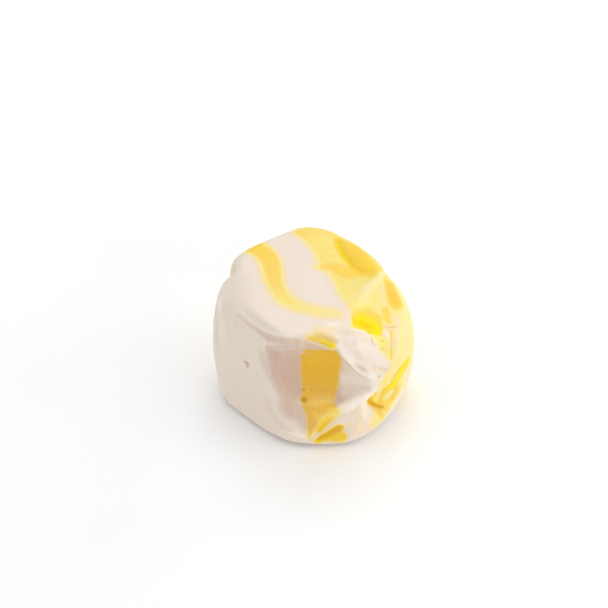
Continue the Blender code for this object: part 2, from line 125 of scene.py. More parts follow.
FOLDS = {
    "lip": Fold(((2.4, -8.8, 14.2), (3.4, -9.0, 13.4), (4.3, -9.0, 12.2), (5.3, -8.9, 10.8),
                 (6.4, -9.0, 10.0), (7.1, -8.8, 9.3)), 0.3, 0.5, 0.25, 1.3, (0.3, 0.2)),
    "lip groove": Fold(((-1.0, -8.5, 15.6), (0.1, -8.6, 15.2), (1.2, -8.7, 14.8), (2.5, -8.8, 14.4)),
                       -0.32, 0.3, 0.25, 1.6, (0.35, 0.3)),
    "lip ridge": Fold(((-1.4, -8.5, 15.8), (0.3, -8.5, 15.7), (1.9, -8.4, 15.4), (3.2, -7.9, 15.3)),
                      0.2, 0.3, 0.5, 1.6),
    "rib": Fold(((2.6, -7.6, 15.8), (4.0, -7.2, 15.5), (5.4, -6.3, 14.4), (6.2, -6.4, 13.7),
                 (6.7, -7.5, 13.4)), 0.5, 0.5, 0.5, 1.6, (0.35, 0.2)),
    "pocket hollow": Fold(((4.3, -6.1, 15.8), (5.1, -5.7, 15.2), (6.2, -4.6, 13.7), (7.5, -4.8, 13.1)),
                          -0.4, 0.4, 1.1, 1.8, (0.15, 0.3)),
    "shell edge": Fold(((4.6, -7.6, 14.9), (4.2, -8.4, 14.5), (4.1, -8.8, 13.9), (4.6, -9.0, 12.7),
                        (5.5, -9.0, 11.6), (6.9, -8.7, 10.3)), 0.15, 0.2, 0.6, 1.4, (0.2, 0.3)),
    "shell hollow": Fold(((4.7, -8.0, 14.6), (4.6, -8.6, 14.0), (5.0, -8.9, 13.0), (6.2, -8.8, 11.7)),
                         -0.12, 0.35, 0.35, 1.8),
    "shell groove": Fold(((6.9, -8.5, 11.2), (7.7, -8.1, 10.4), (8.6, -7.5, 9.5)),
                         -0.25, 0.4, 0.25, 1.6, (0.4, 0.3)),
    "back valley": Fold(((2.7, 8.3, 16.0), (3.1, 6.6, 16.1), (3.8, 4.7, 16.1), (4.6, 3.1, 16.1),
                         (5.5, 2.3, 16.1), (6.4, 1.9, 16.1)), -0.35, 0.45, 0.6, 1.4, (0.1, 0.4)),
    "back crest": Fold(((8.3, 2.0, 15.7), (7.4, 0.4, 15.9), (6.1, -1.1, 16.1), (4.7, -2.6, 16.1)),
                       0.4, 0.5, 1.0, 1.4, (0.15, 0.5)),
    "slope crease": Fold(((8.2, 1.0, 15.6), (7.1, -0.8, 15.4), (6.4, -2.2, 15.1), (6.3, -3.0, 14.4)),
                         -0.08, 0.3, 0.3, 1.3, (0.4, 0.4)),
    "flank dimple": Fold(((8.4, -1.3, 13.5), (8.5, -2.0, 13.2), (8.6, -2.9, 13.1)),
                         -0.15, 0.4, 0.3, 2.0, (0.5, 0.5)),
    "pocket crest": Fold(((7.8, -4.4, 13.1), (8.5, -5.9, 13.1), (8.5, -6.9, 12.2), (8.7, -7.1, 10.8)),
                         0.15, 0.3, 0.4, 1.3, (0.4, 0.4)),
    "flank crease": Fold(((8.9, -2.6, 13.1), (8.8, -5.3, 13.0), (8.9, -6.5, 12.1), (8.8, -7.1, 10.6)),
                         -0.2, 0.15, 0.2, 1.2, (0.4, 0.3)),
    "flank ridge": Fold(((9.4, -2.3, 13.1), (9.4, -4.9, 12.9), (9.4, -6.2, 11.5), (9.1, -6.9, 10.1)),
                        0.18, 0.45, 0.3, 1.5, (0.4, 0.4)),
    "flank crack": Fold(((8.1, -4.0, 13.0), (8.8, -3.9, 13.0), (9.7, -4.4, 12.9)),
                        -0.25, 0.12, 0.12, 1.2, (0.2, 0.4)),
    "long ridge": Fold(((11.0, -4.4, 8.7), (9.7, -6.4, 9.1), (8.6, -7.8, 8.4), (7.4, -7.7, 5.9)),
                       0.25, 0.2, 1.0, 1.4, (0.3, 0.2)),
    "long crease": Fold(((11.1, -4.2, 8.2), (10.0, -6.2, 8.7), (8.8, -7.6, 8.0), (7.7, -7.5, 5.5)),
                        -0.3, 0.35, 0.2, 1.2, (0.2, 0.3)),
    "under bump": Fold(((9.1, -7.2, 6.8), (8.4, -7.3, 6.0), (7.8, -7.5, 5.2)),
                       0.2, 0.6, 0.5, 2.0, (0.4, 0.4)),
    "under dent": Fold(((10.0, -6.2, 5.2), (9.4, -6.9, 4.7), (8.7, -7.4, 4.2)),
                       -0.15, 0.4, 0.4, 2.0, (0.4, 0.4)),
    "pinch groove": Fold(((6.4, -9.0, 7.0), (6.5, -8.5, 5.5), (7.3, -8.0, 4.4), (8.9, -7.3, 3.2)),
                         -0.5, 0.25, 0.3, 1.2, (0.35, 0.3)),
    "pinch line": Fold(((7.4, -8.1, 4.1), (7.7, -8.2, 3.5), (8.1, -8.0, 2.2)),
                       -0.25, 0.15, 0.15, 1.2, (0.3, 0.4)),
    "pinch fold": Fold(((9.0, -7.2, 3.2), (8.6, -7.5, 2.9), (8.3, -7.8, 2.6)),
                       -0.3, 0.2, 0.2, 1.3, (0.2, 0.4)),
    "flap edge": Fold(((7.2, -8.8, 8.8), (6.3, -9.3, 8.1), (4.9, -9.5, 7.2), (3.9, -9.8, 6.6),
                       (2.7, -10.0, 6.2)), 0.3, 1.2, 0.3, 1.4, (0.2, 0.4)),
    "thin ridge": Fold(((2.9, -9.9, 6.4), (1.5, -10.1, 5.3), (0.5, -10.3, 3.7), (-0.4, -10.5, 1.7)),
                       0.35, 0.3, 0.3, 1.4, (0.4, 0.1)),
    "ridge groove": Fold(((3.0, -10.1, 5.2), (1.8, -10.2, 4.2), (0.9, -10.4, 3.0), (0.1, -10.5, 1.7)),
                         -0.25, 0.45, 0.35, 1.5, (0.4, 0.2)),
    "leaf ridge": Fold(((4.3, -10.3, 4.2), (2.9, -10.3, 4.0), (1.7, -10.3, 3.0), (0.6, -10.4, 2.1),
                        (-0.2, -10.5, 1.2)), 0.35, 0.2, 0.3, 1.2, (0.5, 0.1)),
    "flap valley": Fold(((4.9, -9.5, 7.2), (5.0, -10.0, 5.8), (5.5, -10.0, 4.1), (6.4, -9.4, 1.8)),
                        -0.3, 0.45, 0.45, 1.8),
    "dish floor ridge": Fold(((-3.0, -9.6, 6.8), (-0.8, -9.7, 6.8), (1.4, -9.6, 6.8), (3.7, -9.5, 6.9)),
                             0.25, 0.8, 0.5, 2.0),
    "foot bulge": Fold(((-3.9, -9.6, 2.9), (-2.6, -10.2, 2.5), (-1.4, -10.4, 1.9), (-0.4, -10.5, 1.4)),
                       0.2, 0.4, 0.5, 2.0, (0.4, 0.2)),
    "left edge": Fold(((-10.6, 0.5, 13.7), (-10.3, -1.6, 13.5), (-10.2, -2.3, 11.7), (-10.2, -2.7, 9.0),
                       (-10.2, -3.3, 5.3)), 0.5, 0.25, 1.2, 1.2, (0.15, 0.5)),
    "corner ridge": Fold(((-6.4, -6.1, 11.1), (-5.8, -6.9, 9.4), (-4.8, -8.1, 7.9), (-3.5, -9.5, 6.5)),
                         0.1, 1.0, 1.5, 1.8, (0.3, 0.5)),
    "pit": Fold(((-7.7, -5.2, 9.0), (-7.6, -5.3, 8.5), (-7.4, -5.6, 8.0)),
                -0.6, 0.3, 0.15, 1.3, (0.5, 0.5)),
    "pit line": Fold(((-7.4, -5.6, 8.0), (-7.3, -5.9, 6.5), (-7.2, -6.3, 4.5)),
                     -0.08, 0.12, 0.12, 1.2, (0.3, 0.6)),
    "rib crack": Fold(((5.5, -5.9, 14.3), (6.1, -5.9, 13.7), (6.4, -6.8, 13.6), (6.7, -7.5, 13.4)),
                      -0.3, 0.14, 0.14, 1.4),
    "rim chips": Fold(((-9.0, -2.2, 15.1), (-8.2, -3.6, 15.1), (-7.0, -4.9, 15.1), (-5.6, -6.3, 15.1),
                       (-4.3, -7.5, 15.5), (-2.3, -8.4, 15.9)), 0.16, 0.15, 0.3, 1.3, (0.2, 0.3)),
    "left valley": Fold(((-9.0, 2.6, 16.2), (-9.9, 3.2, 15.5), (-10.7, 4.2, 13.0), (-10.4, 5.5, 10.0)),
                        -0.7, 0.8, 1.2),
    "right notch": Fold(((8.0, 2.2, 16.2), (9.0, 3.0, 15.2), (10.2, 4.0, 12.5)), -0.6, 0.8, 0.8),
    "back lip": Fold(((-10.0, 5.2, 8.6), (-8.2, 7.4, 10.2), (-5.8, 9.0, 12.2), (-2.6, 9.8, 13.4),
                      (0.4, 9.9, 13.6)), 0.5, 0.5, 0.9, 1.4, (0.2, 0.5)),
    "back crease high": Fold(((-10.2, 5.0, 8.0), (-8.9, 6.6, 9.2), (-6.9, 8.2, 10.9), (-4.2, 9.4, 12.0)),
                             -0.45, 0.5, 0.45, 1.4, (0.2, 0.5)),
    "back fold": Fold(((-10.0, 5.4, 6.4), (-7.9, 7.4, 6.0), (-5.0, 8.9, 4.8), (-1.6, 9.9, 4.4)),
                      0.45, 0.7, 0.5, 1.5, (0.2, 0.5)),
    "back crease low": Fold(((-9.9, 5.6, 5.6), (-8.1, 7.2, 4.6), (-5.6, 8.4, 2.9), (-3.2, 9.2, 1.6)),
                            -0.4, 0.5, 0.6, 1.4, (0.2, 0.4)),
    "back side crease": Fold(((-10.8, 4.2, 6.8), (-11.2, 2.2, 6.0), (-11.0, 0.2, 4.2),
                              (-10.6, -1.0, 2.4)), -0.35, 0.5, 0.7, 1.4, (0.2, 0.5)),
    "back side fold": Fold(((-10.8, 4.4, 7.8), (-11.4, 2.6, 8.4), (-11.5, 0.6, 8.2)),
                           0.4, 0.7, 0.6, 1.5, (0.3, 0.5)),
    "right crease": Fold(((11.5, 1.6, 12.8), (11.6, 2.6, 9.0), (11.2, 3.2, 4.6), (10.6, 3.4, 1.6)),
                         -0.3, 0.45, 0.9, 1.4, (0.3, 0.4)),
    "right swell": Fold(((9.6, 6.4, 13.0), (9.7, 6.6, 8.6), (9.2, 6.8, 4.0)),
                        0.3, 1.2, 0.9, 1.8, (0.4, 0.4)),
}


class Streak(NamedTuple):
    """Colour along a curve on the skin: 0 is cream and 1 yellow, or painted shade at 1 and painted highlight
    at -1.

    The shades and the half widths go from the first value to the second along the curve, and it fades over
    its edge.
    """

    path: tuple
    shades: tuple
    widths: tuple
    edge: float


class Bubble(NamedTuple):
    """A round dent left by a bubble, or a bump if its depth is negative."""

    place: tuple
    radius: float
    depth: float


STREAKS = {
    "right flank": Streak(((9.4, 1.5, 14.5), (10.2, -1.3, 13.1), (10.3, -4.6, 11.6), (10.0, -6.1, 9.1),
                           (9.3, -7.1, 6.8)), (0.55, 0.7), (2.0, 2.0), 1.4),
    "right side": Streak(((11.9, 1.0, 13.0), (12.0, -1.0, 10.0), (11.6, -1.5, 5.0), (10.6, -1.5, 1.0)),
                         (0.62, 0.5), (3.4, 3.0), 1.5),
    "right foot": Streak(((9.9, -6.5, 5.4), (8.7, -7.4, 3.9), (7.4, -8.6, 2.6)),
                         (0.75, 0.65), (1.6, 1.2), 1.0),
    "right back": Streak(((8.5, 7.5, 14.0), (8.8, 7.8, 9.0), (8.0, 7.6, 2.0)),
                         (0.75, 0.6), (4.0, 2.6), 1.6),
    "back": Streak(((2.0, 11.0, 14.0), (2.5, 11.2, 9.0), (3.0, 10.4, 2.0)), (0.8, 0.7), (3.0, 1.6), 1.2),
    "right gold": Streak(((10.6, 4.6, 14.6), (10.9, 5.0, 11.0), (10.2, 5.4, 6.5), (9.2, 5.0, 1.5),
                          (8.6, 4.8, 0.0)), (1.15, 0.9), (0.5, 1.0), 0.9),
    "right cream": Streak(((11.0, 2.6, 14.0), (11.6, 3.0, 10.0), (11.2, 3.4, 5.5), (10.4, 3.2, 1.0),
                           (9.8, 3.0, 0.0)), (0.25, 0.05), (0.2, 0.9), 0.8),
    "right ribbon": Streak(((11.6, 0.8, 13.5), (12.0, 0.9, 9.0), (11.5, 1.2, 4.5), (10.4, 1.0, 0.0)),
                           (0.35, 0.1), (0.15, 0.5), 0.7),
    "back cream": Streak(((6.4, 9.0, 15.4), (6.9, 9.2, 12.0), (6.2, 9.4, 7.0), (5.0, 9.0, 1.5),
                          (4.6, 8.4, 0.0)), (0.3, 0.0), (0.3, 1.0), 0.8),
    "back gold": Streak(((3.4, 10.0, 15.0), (3.8, 10.4, 10.5), (2.8, 10.6, 5.5), (1.6, 10.2, 1.5),
                         (1.4, 9.6, 0.0)), (1.2, 1.0), (0.7, 0.4), 0.8),
    "back thin": Streak(((8.6, 7.6, 14.0), (8.4, 8.0, 9.0), (7.4, 8.0, 3.0), (6.8, 7.6, 0.0)),
                        (0.2, 0.1), (0.15, 0.35), 0.6),
    "left band": Streak(((-6.6, 8.2, 15.6), (-7.6, 7.6, 11.5), (-8.0, 6.6, 7.0), (-7.0, 7.0, 2.0),
                         (-6.4, 6.6, 0.0)), (1.15, 0.85), (0.9, 1.1), 1.0),
    "left ribbon": Streak(((-9.4, 4.6, 14.5), (-10.4, 3.6, 9.5), (-9.8, 3.4, 4.0), (-9.2, 3.0, 0.0)),
                          (0.55, 0.35), (0.3, 0.6), 0.9),
    "left thin": Streak(((-11.2, -0.6, 12.0), (-11.2, -0.2, 8.0), (-10.6, 0.2, 2.5), (-9.8, 0.4, 0.0)),
                        (0.35, 0.5), (0.1, 0.35), 0.7),
    "back ribbon": Streak(((-2.4, 10.0, 15.2), (-2.6, 9.8, 10.5), (-3.4, 9.6, 6.0), (-3.0, 9.4, 1.5),
                           (-2.8, 8.8, 0.0)), (0.6, 0.4), (0.2, 0.8), 0.9),
    "top back": Streak(((0.2, 9.8, 16.0), (2.0, 6.9, 16.1), (2.9, 4.4, 16.1), (4.7, 1.2, 16.2),
                        (5.6, -1.5, 16.1), (6.1, -2.7, 15.1)), (0.85, 0.75), (2.3, 2.8), 1.3),
    "top right": Streak(((4.4, 6.6, 16.1), (6.0, 4.1, 16.1), (7.5, 2.0, 16.1)),
                        (1.0, 1.0), (1.5, 1.5), 1.0),
    "top rear": Streak(((-1.7, 9.0, 16.0), (-0.5, 8.8, 16.0), (1.1, 7.7, 16.1)),
                       (0.95, 0.8), (0.5, 1.4), 1.2),
    "top tongue": Streak(((0.8, 2.7, 16.2), (2.5, 2.6, 16.2), (4.3, 1.7, 16.2)),
                         (0.95, 1.15), (0.5, 0.9), 1.3),
    "back lobe": Streak(((3.9, 6.6, 16.1), (5.2, 4.4, 16.1), (6.1, 2.3, 16.1)),
                        (1.15, 1.25), (1.1, 1.3), 1.3),
    "valley deep": Streak(((2.9, 7.9, 16.1), (3.7, 5.1, 16.1), (4.7, 2.9, 16.1)),
                          (1.5, 1.3), (0.25, 0.4), 0.7),
    "crest pale": Streak(((8.0, 2.4, 15.9), (7.4, 0.5, 16.0), (6.1, -1.1, 16.1), (4.4, -2.7, 16.1)),
                         (0.45, 0.55), (0.15, 0.3), 0.6),
    "slope cream": Streak(((7.7, 0.1, 15.4), (7.6, -0.8, 14.3), (7.9, -2.4, 13.3)),
                          (0.5, 0.6), (0.25, 0.4), 0.8),
    "orange": Streak(((8.7, 1.3, 15.2), (9.1, 0.8, 14.3), (9.6, -0.6, 13.4)),
                     (1.15, 1.15), (0.6, 0.7), 1.1),
    "orange foot": Streak(((8.3, -1.6, 13.4), (8.6, -3.2, 13.0)), (1.15, 1.15), (0.4, 0.3), 0.8),
    "slope pale": Streak(((6.5, -1.0, 15.9), (5.6, -3.1, 15.8), (5.1, -4.4, 15.8)),
                         (0.5, 0.7), (0.7, 0.6), 1.0),
    "pocket glow": Streak(((4.8, -4.8, 15.9), (6.2, -3.2, 14.4), (7.4, -2.9, 13.3)),
                          (0.95, 0.95), (0.5, 0.6), 1.2),
    "pocket brow": Streak(((5.5, -4.4, 14.9), (7.2, -3.2, 13.4)), (1.3, 1.3), (0.35, 0.45), 1.0),
    "flank bumps": Streak(((7.3, -6.1, 13.3), (8.2, -7.0, 12.5), (8.9, -6.8, 11.1)),
                          (0.75, 0.65), (0.8, 0.9), 0.6),
    "flank cream": Streak(((9.4, -2.3, 13.1), (9.5, -5.1, 12.7), (9.3, -6.5, 10.6)),
                          (0.3, 0.45), (0.25, 0.35), 0.6),
    "rib cream": Streak(((1.9, -7.6, 15.9), (3.6, -7.4, 15.6), (5.0, -7.0, 14.7), (6.3, -7.0, 13.7)),
                        (0.15, 0.1), (0.4, 0.6), 0.4),
    "lip cream": Streak(((3.2, -8.7, 14.5), (4.1, -8.8, 14.0), (5.4, -8.8, 12.8), (6.2, -8.8, 11.5)),
                        (0.0, 0.0), (0.7, 0.8), 0.6),
    "shell cream": Streak(((5.3, -7.9, 14.2), (6.2, -8.2, 13.3), (7.3, -8.0, 11.8), (8.1, -7.7, 10.5)),
                          (0.0, 0.0), (0.9, 0.7), 0.4),
    "flap cream": Streak(((5.4, -9.2, 7.8), (4.5, -9.7, 6.8), (4.0, -10.1, 5.6), (4.5, -10.1, 3.0)),
                         (0.05, 0.05), (0.5, 1.6), 0.8),
    "lower cream": Streak(((5.4, -9.7, 6.8), (5.8, -9.6, 4.9), (5.7, -9.9, 2.7)),
                          (0.05, 0.25), (0.6, 0.9), 0.8),
    "heel yellow": Streak(((9.1, -7.1, 9.3), (8.1, -8.2, 8.6), (7.3, -7.8, 6.1)),
                          (0.65, 0.8), (0.7, 0.5), 0.8),
    "band": Streak(((-6.8, 6.6, 15.9), (-5.1, 4.4, 16.1), (-4.6, 1.9, 16.2), (-4.1, -0.6, 16.2),
                    (-3.1, -2.8, 16.2), (-1.6, -4.1, 16.2), (0.6, -4.8, 16.2), (2.7, -5.2, 16.1)),
                   (1.15, 0.55), (1.4, 0.8), 1.4),
    "front band": Streak(((0.9, -8.2, 11.6), (0.8, -8.4, 8.6), (0.6, -9.8, 6.5)),
                         (1.3, 1.15), (2.3, 1.8), 0.8),
    "front band top": Streak(((-0.6, -8.3, 12.6), (2.5, -8.9, 12.9)), (1.25, 1.25), (0.75, 0.7), 0.4),
    "front band corner": Streak(((-0.8, -8.7, 13.7), (2.6, -8.9, 13.7)), (1.25, 1.25), (0.3, 0.3), 0.3),
    "lip cream low": Streak(((3.1, -8.8, 14.3), (3.9, -9.0, 13.1), (4.6, -9.0, 12.1)),
                            (0.0, 0.0), (0.4, 0.4), 0.6),
    "bevel cream": Streak(((-1.8, -8.6, 15.1), (-0.5, -8.6, 14.9), (0.6, -8.7, 14.5), (2.0, -8.8, 14.3)),
                          (0.15, 0.4), (0.25, 0.1), 0.5),
    "rim patch": Streak(((0.5, -7.5, 16.1), (1.6, -7.7, 16.0)), (0.4, 0.4), (0.4, 0.4), 1.4),
    "rim patch low": Streak(((-0.3, -8.5, 15.7), (1.0, -8.4, 15.6), (2.0, -8.6, 15.1)),
                            (0.8, 1.0), (0.35, 0.4), 1.2),
    "front band foot": Streak(((0.6, -9.4, 7.0), (0.4, -10.0, 5.4), (0.1, -10.2, 3.7),
                               (-0.4, -10.5, 1.8)), (1.1, 0.95), (1.7, 0.3), 0.8),
    "pocket": Streak(((4.9, -5.6, 15.4), (6.0, -4.3, 14.0), (7.2, -4.2, 13.2)),
                     (1.5, 1.5), (0.8, 0.85), 1.1),
    "pocket foot": Streak(((4.3, -6.7, 15.6), (5.4, -5.9, 14.5), (6.6, -5.3, 13.4), (7.4, -5.3, 13.2)),
                          (1.5, 1.5), (0.22, 0.35), 0.3),
    "pocket end": Streak(((6.9, -4.2, 13.3), (7.4, -5.0, 13.2)), (1.5, 1.5), (0.45, 0.45), 0.5),
    "lip groove": Streak(((-0.3, -8.6, 15.5), (0.6, -8.6, 15.2), (1.5, -8.7, 14.8), (2.2, -8.8, 14.6)),
                         (1.4, 1.5), (0.2, 0.35), 0.4),
    "crease yellow": Streak(((8.7, -4.6, 13.1), (8.8, -6.4, 12.5), (8.8, -6.9, 11.0)),
                            (1.45, 1.45), (0.12, 0.12), 0.3),
    "long yellow": Streak(((11.0, -4.5, 8.2), (9.9, -6.4, 7.7), (8.9, -7.3, 6.5), (8.0, -7.5, 5.0)),
                          (1.6, 1.6), (0.5, 0.6), 0.8),
    "pinch side": Streak(((8.5, -7.8, 8.7), (7.9, -7.8, 7.1), (7.3, -7.8, 5.6)),
                         (0.75, 0.75), (0.6, 0.6), 0.6),
    "under bump": Streak(((8.8, -7.2, 6.0), (8.3, -7.4, 5.0)), (0.5, 0.5), (0.35, 0.4), 0.9),
    "under orange": Streak(((10.0, -6.3, 5.8), (9.4, -6.9, 4.7), (8.7, -7.4, 4.2)),
                           (1.25, 1.25), (0.3, 0.3), 0.9),
    "pinch yellow": Streak(((6.8, -8.2, 6.2), (6.7, -8.2, 5.3), (7.5, -8.0, 4.2), (8.5, -7.6, 3.5)),
                           (1.45, 1.2), (0.5, 0.25), 0.6),
    "ridge groove": Streak(((2.6, -10.1, 5.5), (1.5, -10.2, 4.2), (0.8, -10.4, 2.9)),
                           (1.15, 1.3), (0.7, 0.45), 0.8),
    "ridge deep": Streak(((2.1, -10.2, 4.8), (1.3, -10.3, 3.8)), (1.35, 1.35), (0.3, 0.3), 0.5),
    "ridge warm": Streak(((2.4, -10.0, 6.2), (1.4, -10.1, 4.9), (0.4, -10.3, 3.3), (-0.2, -10.5, 2.0)),
                         (1.2, 1.0), (0.3, 0.2), 0.4),
    "leaf yellow": Streak(((0.8, -10.3, 1.5), (1.7, -10.1, 2.1), (2.9, -10.1, 3.1)),
                          (1.5, 1.3), (0.5, 0.8), 0.7),
    "leaf foot": Streak(((0.6, -10.4, 1.2), (3.2, -10.1, 1.6)), (1.5, 1.2), (0.6, 0.8), 0.7),
    "leaf tail": Streak(((3.6, -10.2, 3.7), (4.3, -10.2, 3.5)), (0.25, 0.25), (0.3, 0.3), 0.7),
    "flap warm": Streak(((2.2, -10.1, 4.9), (3.5, -10.1, 5.5)), (0.7, 0.3), (0.3, 0.2), 1.6),
    "pinch foot": Streak(((7.7, -8.1, 3.8), (8.2, -7.9, 2.3)), (1.0, 0.9), (0.4, 0.4), 0.8),
    "shell line": Streak(((6.6, -8.7, 11.1), (7.5, -8.3, 10.3), (8.3, -7.9, 9.4)),
                         (0.3, 0.3), (0.1, 0.1), 0.3),
}

# Painted shade in hollows, cracks and shaded sides, a few warm tints, up to 1, painted highlights to -1.
SHADING_AND_TINTS = {
    "dish tip": Streak(((4.0, -8.5, 9.2), (5.3, -8.8, 9.2), (6.8, -9.0, 9.3)),
                       (0.15, -0.1), (1.3, 1.1), 1.8),
    "dish upper tip": Streak(((3.4, -8.8, 12.1), (4.5, -8.6, 10.4)), (0.5, 0.2), (0.5, 0.6), 1.2),
    "dish tip low": Streak(((3.8, -9.1, 7.6), (5.7, -9.2, 8.0)), (0.35, 0.1), (0.6, 0.5), 1.2),
    "band shine": Streak(((1.0, -8.9, 13.7), (0.8, -8.4, 8.6), (0.6, -9.5, 6.9)),
                         (0.8, 0.6), (2.3, 1.8), 0.8),
    "lip groove": Streak(((-0.1, -8.6, 15.3), (1.0, -8.7, 15.0), (2.2, -8.8, 14.6)),
                         (0.0, 0.0), (0.4, 0.5), 0.6),
    "bevel": Streak(((-5.0, -7.0, 14.2), (-3.4, -8.3, 14.8), (-1.7, -8.6, 14.9)),
                    (0.7, 0.65), (0.5, 0.6), 1.0),
    "rim shade": Streak(((-8.4, -3.7, 14.5), (-7.0, -5.0, 14.3), (-5.6, -6.4, 14.2)),
                        (0.3, 0.6), (0.2, 0.4), 0.6),
    "rim light": Streak(((-8.0, -3.7, 15.2), (-7.0, -4.9, 15.2), (-5.6, -6.3, 15.0), (-4.1, -7.7, 15.4),
                         (-1.6, -8.5, 15.8)), (-0.6, -0.5), (0.05, 0.15), 0.35),
    "dish side": Streak(((-5.7, -6.7, 11.4), (-5.4, -7.3, 9.9), (-4.5, -8.3, 8.6), (-3.1, -9.5, 7.2)),
                        (0.55, 0.45), (0.3, 0.3), 1.6),
    "dish wall": Streak(((-4.8, -7.5, 12.4), (-4.6, -7.9, 10.7), (-3.9, -8.6, 9.0), (-2.8, -9.5, 7.4)),
                        (0.85, 0.8), (0.6, 0.5), 1.4),
    "dish brow": Streak(((-5.0, -7.2, 12.9), (-3.1, -8.6, 14.2), (-1.4, -8.7, 14.2)),
                        (0.8, 0.75), (0.1, 0.3), 0.7),
    "dish fill": Streak(((-4.1, -7.9, 12.6), (-3.4, -8.1, 10.6), (-2.4, -8.9, 8.2)),
                        (0.95, 0.95), (0.6, 0.6), 1.2),
    "lower side": Streak(((-5.3, -8.0, 5.1), (-4.4, -9.1, 3.9), (-2.6, -10.2, 2.7)),
                         (0.15, 0.3), (0.6, 0.5), 1.4),
    "low front": Streak(((-1.9, -9.9, 5.9), (-1.0, -10.0, 4.8), (-0.5, -10.2, 3.7)),
                        (0.8, 0.7), (1.8, 1.0), 1.6),
    "left sliver": Streak(((-11.1, -0.2, 11.9), (-10.8, -1.4, 11.4), (-10.9, -1.9, 8.8)),
                          (0.7, 0.3), (0.2, 0.3), 0.4),
    "leaf": Streak(((0.8, -10.3, 1.5), (1.7, -10.1, 1.9), (2.8, -10.0, 2.9)),
                   (1.1, 0.9), (0.5, 0.7), 0.8),
    "ridge warm": Streak(((2.1, -10.0, 5.8), (1.2, -10.2, 4.5), (0.2, -10.4, 2.9)),
                         (0.25, 0.25), (0.25, 0.15), 0.5),
    "lobe warm": Streak(((4.4, 5.9, 16.1), (5.3, 4.0, 16.1), (6.1, 2.3, 16.1)),
                        (0.2, 0.2), (0.7, 0.9), 1.4),
    "orange back": Streak(((8.9, 1.1, 14.7), (9.6, -0.1, 13.6)), (0.2, 0.2), (0.7, 0.8), 1.0),
    "under orange": Streak(((9.7, -6.7, 6.1), (9.2, -7.0, 4.7)), (0.5, 0.5), (0.3, 0.3), 0.6),
    "pinch": Streak(((6.7, -8.3, 5.9), (6.9, -8.1, 4.8), (8.0, -7.8, 3.9)), (0.6, 0.6), (0.2, 0.2), 0.5),
    "flap valley": Streak(((4.7, -9.6, 7.0), (4.8, -10.1, 5.5), (5.1, -10.2, 3.6)),
                          (0.4, 0.3), (0.25, 0.25), 0.7),
    "shell strip": Streak(((4.5, -8.0, 14.7), (4.2, -8.7, 13.9), (4.8, -9.0, 12.7)),
                          (0.45, 0.45), (0.1, 0.1), 0.4),
    "shell shade": Streak(((4.8, -7.9, 14.5), (5.7, -7.5, 14.0)), (0.3, 0.3), (0.3, 0.3), 0.8),
    "shell groove": Streak(((6.9, -8.5, 11.1), (8.3, -7.8, 9.9)), (0.5, 0.5), (0.15, 0.15), 0.5),
    "lip light": Streak(((3.0, -8.7, 14.5), (3.7, -9.0, 13.5), (4.4, -9.0, 12.2), (5.3, -8.9, 11.0),
                         (6.7, -8.9, 10.1)), (-1.0, -0.6), (0.35, 0.2), 0.8),
    "shell glow": Streak(((7.1, -8.0, 12.3), (8.3, -7.7, 10.4)), (-0.15, -0.15), (0.5, 0.4), 0.9),
    "swell light": Streak(((5.5, -8.3, 13.8), (6.8, -8.0, 12.7), (8.0, -7.7, 11.1)),
                          (-0.3, -0.3), (0.6, 0.6), 0.9),
    "flap light": Streak(((6.2, -9.3, 7.3), (4.7, -9.8, 6.7), (3.5, -10.0, 6.1)),
                         (-1.0, -0.7), (0.7, 0.5), 1.0),
    "flap glow": Streak(((5.1, -9.6, 7.0), (4.2, -9.9, 6.5), (3.6, -10.1, 5.8)),
                        (-1.0, -0.7), (0.6, 0.4), 0.8),
    "lower light": Streak(((6.1, -9.1, 6.1), (6.0, -9.5, 4.4), (6.4, -9.5, 2.8)),
                          (-0.6, -0.3), (0.5, 0.5), 0.8),
    "pinch mark": Streak(((6.4, -8.5, 5.9), (7.2, -8.0, 4.6), (8.1, -7.8, 3.7)),
                         (1.0, 0.8), (0.05, 0.05), 0.2),
    "flank mark": Streak(((8.1, -4.0, 13.0), (8.8, -3.9, 13.0), (9.7, -4.4, 12.9)),
                         (0.8, 0.5), (0.03, 0.03), 0.18),
    "crack mark": Streak(((5.8, -5.7, 14.0), (6.2, -6.2, 13.7), (6.7, -7.4, 13.4)),
                         (0.9, 0.9), (0.03, 0.05), 0.18),
    "pit mark": Streak(((-7.8, -5.1, 8.7), (-7.4, -5.6, 8.1)), (1.0, 1.0), (0.1, 0.05), 0.25),
    "foot light": Streak(((-3.3, -10.0, 2.5), (-1.6, -10.4, 2.2), (-0.5, -10.5, 1.8)),
                         (-0.3, -0.9), (0.15, 0.2), 0.4),
    "rim spot": Streak(((1.7, -7.0, 16.1), (2.6, -6.8, 16.0)), (-0.7, -0.7), (0.2, 0.2), 0.6),
}

